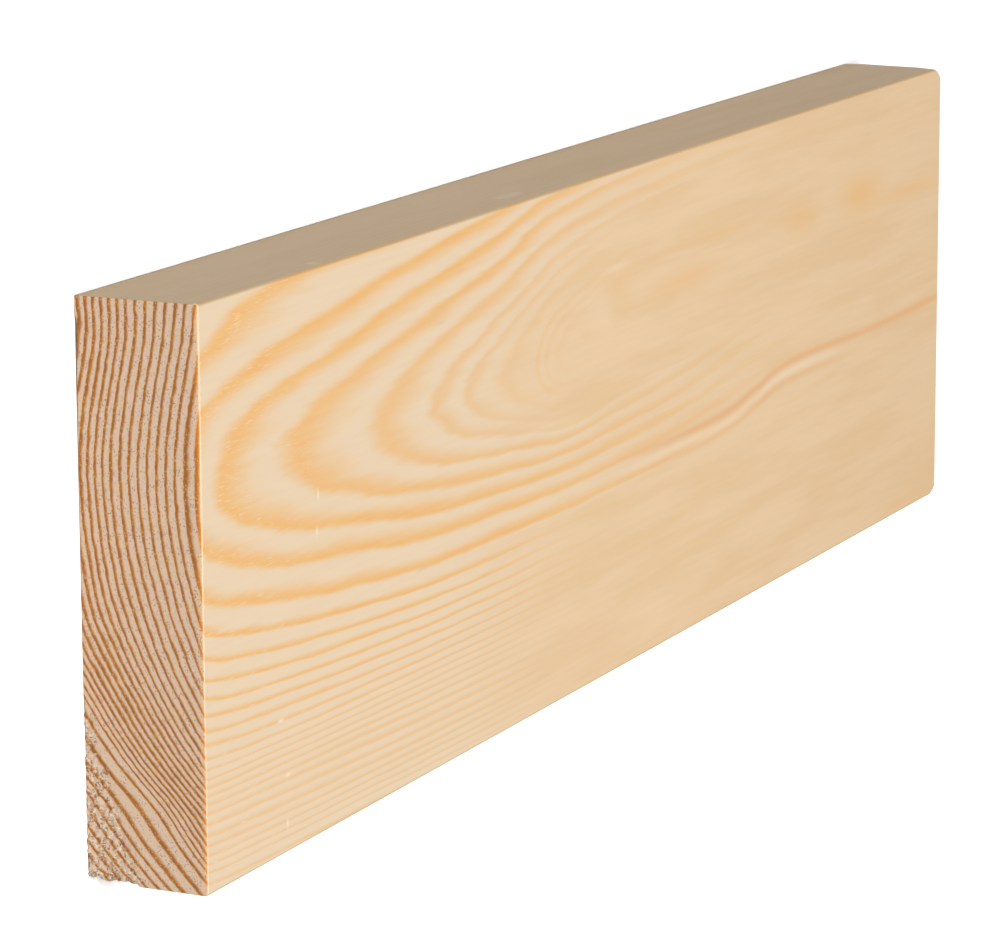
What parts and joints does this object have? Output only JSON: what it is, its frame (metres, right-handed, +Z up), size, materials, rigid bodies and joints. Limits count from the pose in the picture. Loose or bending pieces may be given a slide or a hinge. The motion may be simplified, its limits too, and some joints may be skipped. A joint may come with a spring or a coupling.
{
  "type": "timber plank",
  "caption": "Short flat plank of planed pale pine with eased long edges, square sawn ends and rounded corners at its worn end.",
  "frame": {"origin": "middle of the underside, on the plane that the plank lies on", "axes": "+X along the length and the grain, from the square sawn end towards the worn end; +Y across the width; +Z up through the thickness"},
  "size_m": [0.335, 0.095, 0.022],
  "materials": {
    "pine": "planed, unfinished"
  },
  "bodies": {
    "root": {"plank": "pine"}
  },
  "joints": []
}
